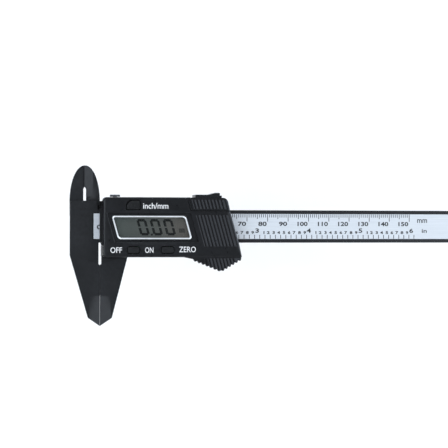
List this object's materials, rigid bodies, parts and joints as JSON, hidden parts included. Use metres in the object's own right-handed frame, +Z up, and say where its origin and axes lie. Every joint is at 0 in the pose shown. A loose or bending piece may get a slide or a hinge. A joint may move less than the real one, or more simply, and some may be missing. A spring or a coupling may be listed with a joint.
{
  "type": "digital caliper",
  "caption": "Moulded digital caliper: rail with fixed jaws and printed scale, sliding jaw unit with display, buttons, battery cover and depth rod.",
  "frame": {"origin": "middle of the underside of the closed caliper's bounding box, lying on its back", "axes": "+X along the rail towards its free end, +Y towards the upper (inside) jaws, +Z up, out of the display"},
  "size_m": [0.2352, 0.0756, 0.0154],
  "materials": {
    "black_plastic": "fine satin moulding",
    "housing_plastic": "satin moulding",
    "button_plastic": "matte",
    "pale_rim": "smooth, pale silver white",
    "clear_window": "clear, polished",
    "lcd_glass": "grey-green display",
    "scale_film": "silver film with black print",
    "board_laminate": "green solder mask",
    "chip_resin": "black resin",
    "connector_rubber": "matte",
    "holder_plastic": "matte white",
    "steel": "plain",
    "brass": "turned"
  },
  "bodies": {
    "beam": {"beam_with_fixed_jaws": "black_plastic", "scale_strip": "board_laminate", "scale_label": "scale_film", "end_stop_plate": "black_plastic", "end_stop_screw_1": "steel", "end_stop_screw_2": "steel"},
    "slider": {"depth_rod": "steel", "slider_base": "black_plastic", "gib_spring": "steel", "front_housing": "housing_plastic", "display_border": "pale_rim", "display_window": "clear_window", "lcd_panel": "lcd_glass", "lcd_holder": "holder_plastic", "zebra_strip_upper": "connector_rubber", "zebra_strip_lower": "connector_rubber", "circuit_board": "board_laminate", "driver_chip": "chip_resin", "crystal": "steel", "capacitor": "steel", "snap_dome_power": "steel", "snap_dome_zero": "steel", "snap_dome_unit": "steel", "battery": "steel", "battery_contact_positive": "steel", "battery_contact_negative": "steel", "housing_screw_1": "steel", "housing_screw_2": "steel", "housing_screw_3": "steel", "housing_screw_4": "steel", "board_screw_1": "steel", "board_screw_2": "steel", "board_screw_3": "steel"},
    "power_button": {"power_button": "button_plastic"},
    "zero_button": {"zero_button": "button_plastic"},
    "unit_button": {"unit_button": "button_plastic"},
    "battery_cover": {"battery_cover": "housing_plastic"},
    "lock_screw": {"lock_screw": "steel"},
    "lock_pad": {"lock_pad": "brass"}
  },
  "joints": [
    {"name": "slider_travel", "type": "slide", "parent": "beam", "child": "slider", "axis": [1, 0, 0], "range_m": [0, 0.15]},
    {"name": "power_button_press", "type": "slide", "parent": "slider", "child": "power_button", "axis": [0, 0, -1], "range_m": [0, 0.0005], "stiffness_N_per_m": 1500, "springref_m": -0.0004},
    {"name": "zero_button_press", "type": "slide", "parent": "slider", "child": "zero_button", "axis": [0, 0, -1], "range_m": [0, 0.0005], "stiffness_N_per_m": 1500, "springref_m": -0.0004},
    {"name": "unit_button_press", "type": "slide", "parent": "slider", "child": "unit_button", "axis": [0, 0, -1], "range_m": [0, 0.0005], "stiffness_N_per_m": 1500, "springref_m": -0.0004},
    {"name": "battery_cover_slide", "type": "slide", "parent": "slider", "child": "battery_cover", "axis": [1, 0, 0], "range_m": [0, 0.014]},
    {"name": "lock_screw_turn", "type": "hinge", "parent": "slider", "child": "lock_screw", "pos_m": [-0.09635, 0.02315, 0.0042], "axis": [0, -1, 0], "range_deg": [0, 180]},
    {"name": "lock_pad_press", "type": "slide", "parent": "slider", "child": "lock_pad", "axis": [0, -1, 0], "range_m": [0, 0.0002]}
  ],
  "couplings": [
    {"joint": "lock_pad_press", "follows": "lock_screw_turn", "m_per_rad": 0.000063598}
  ]
}
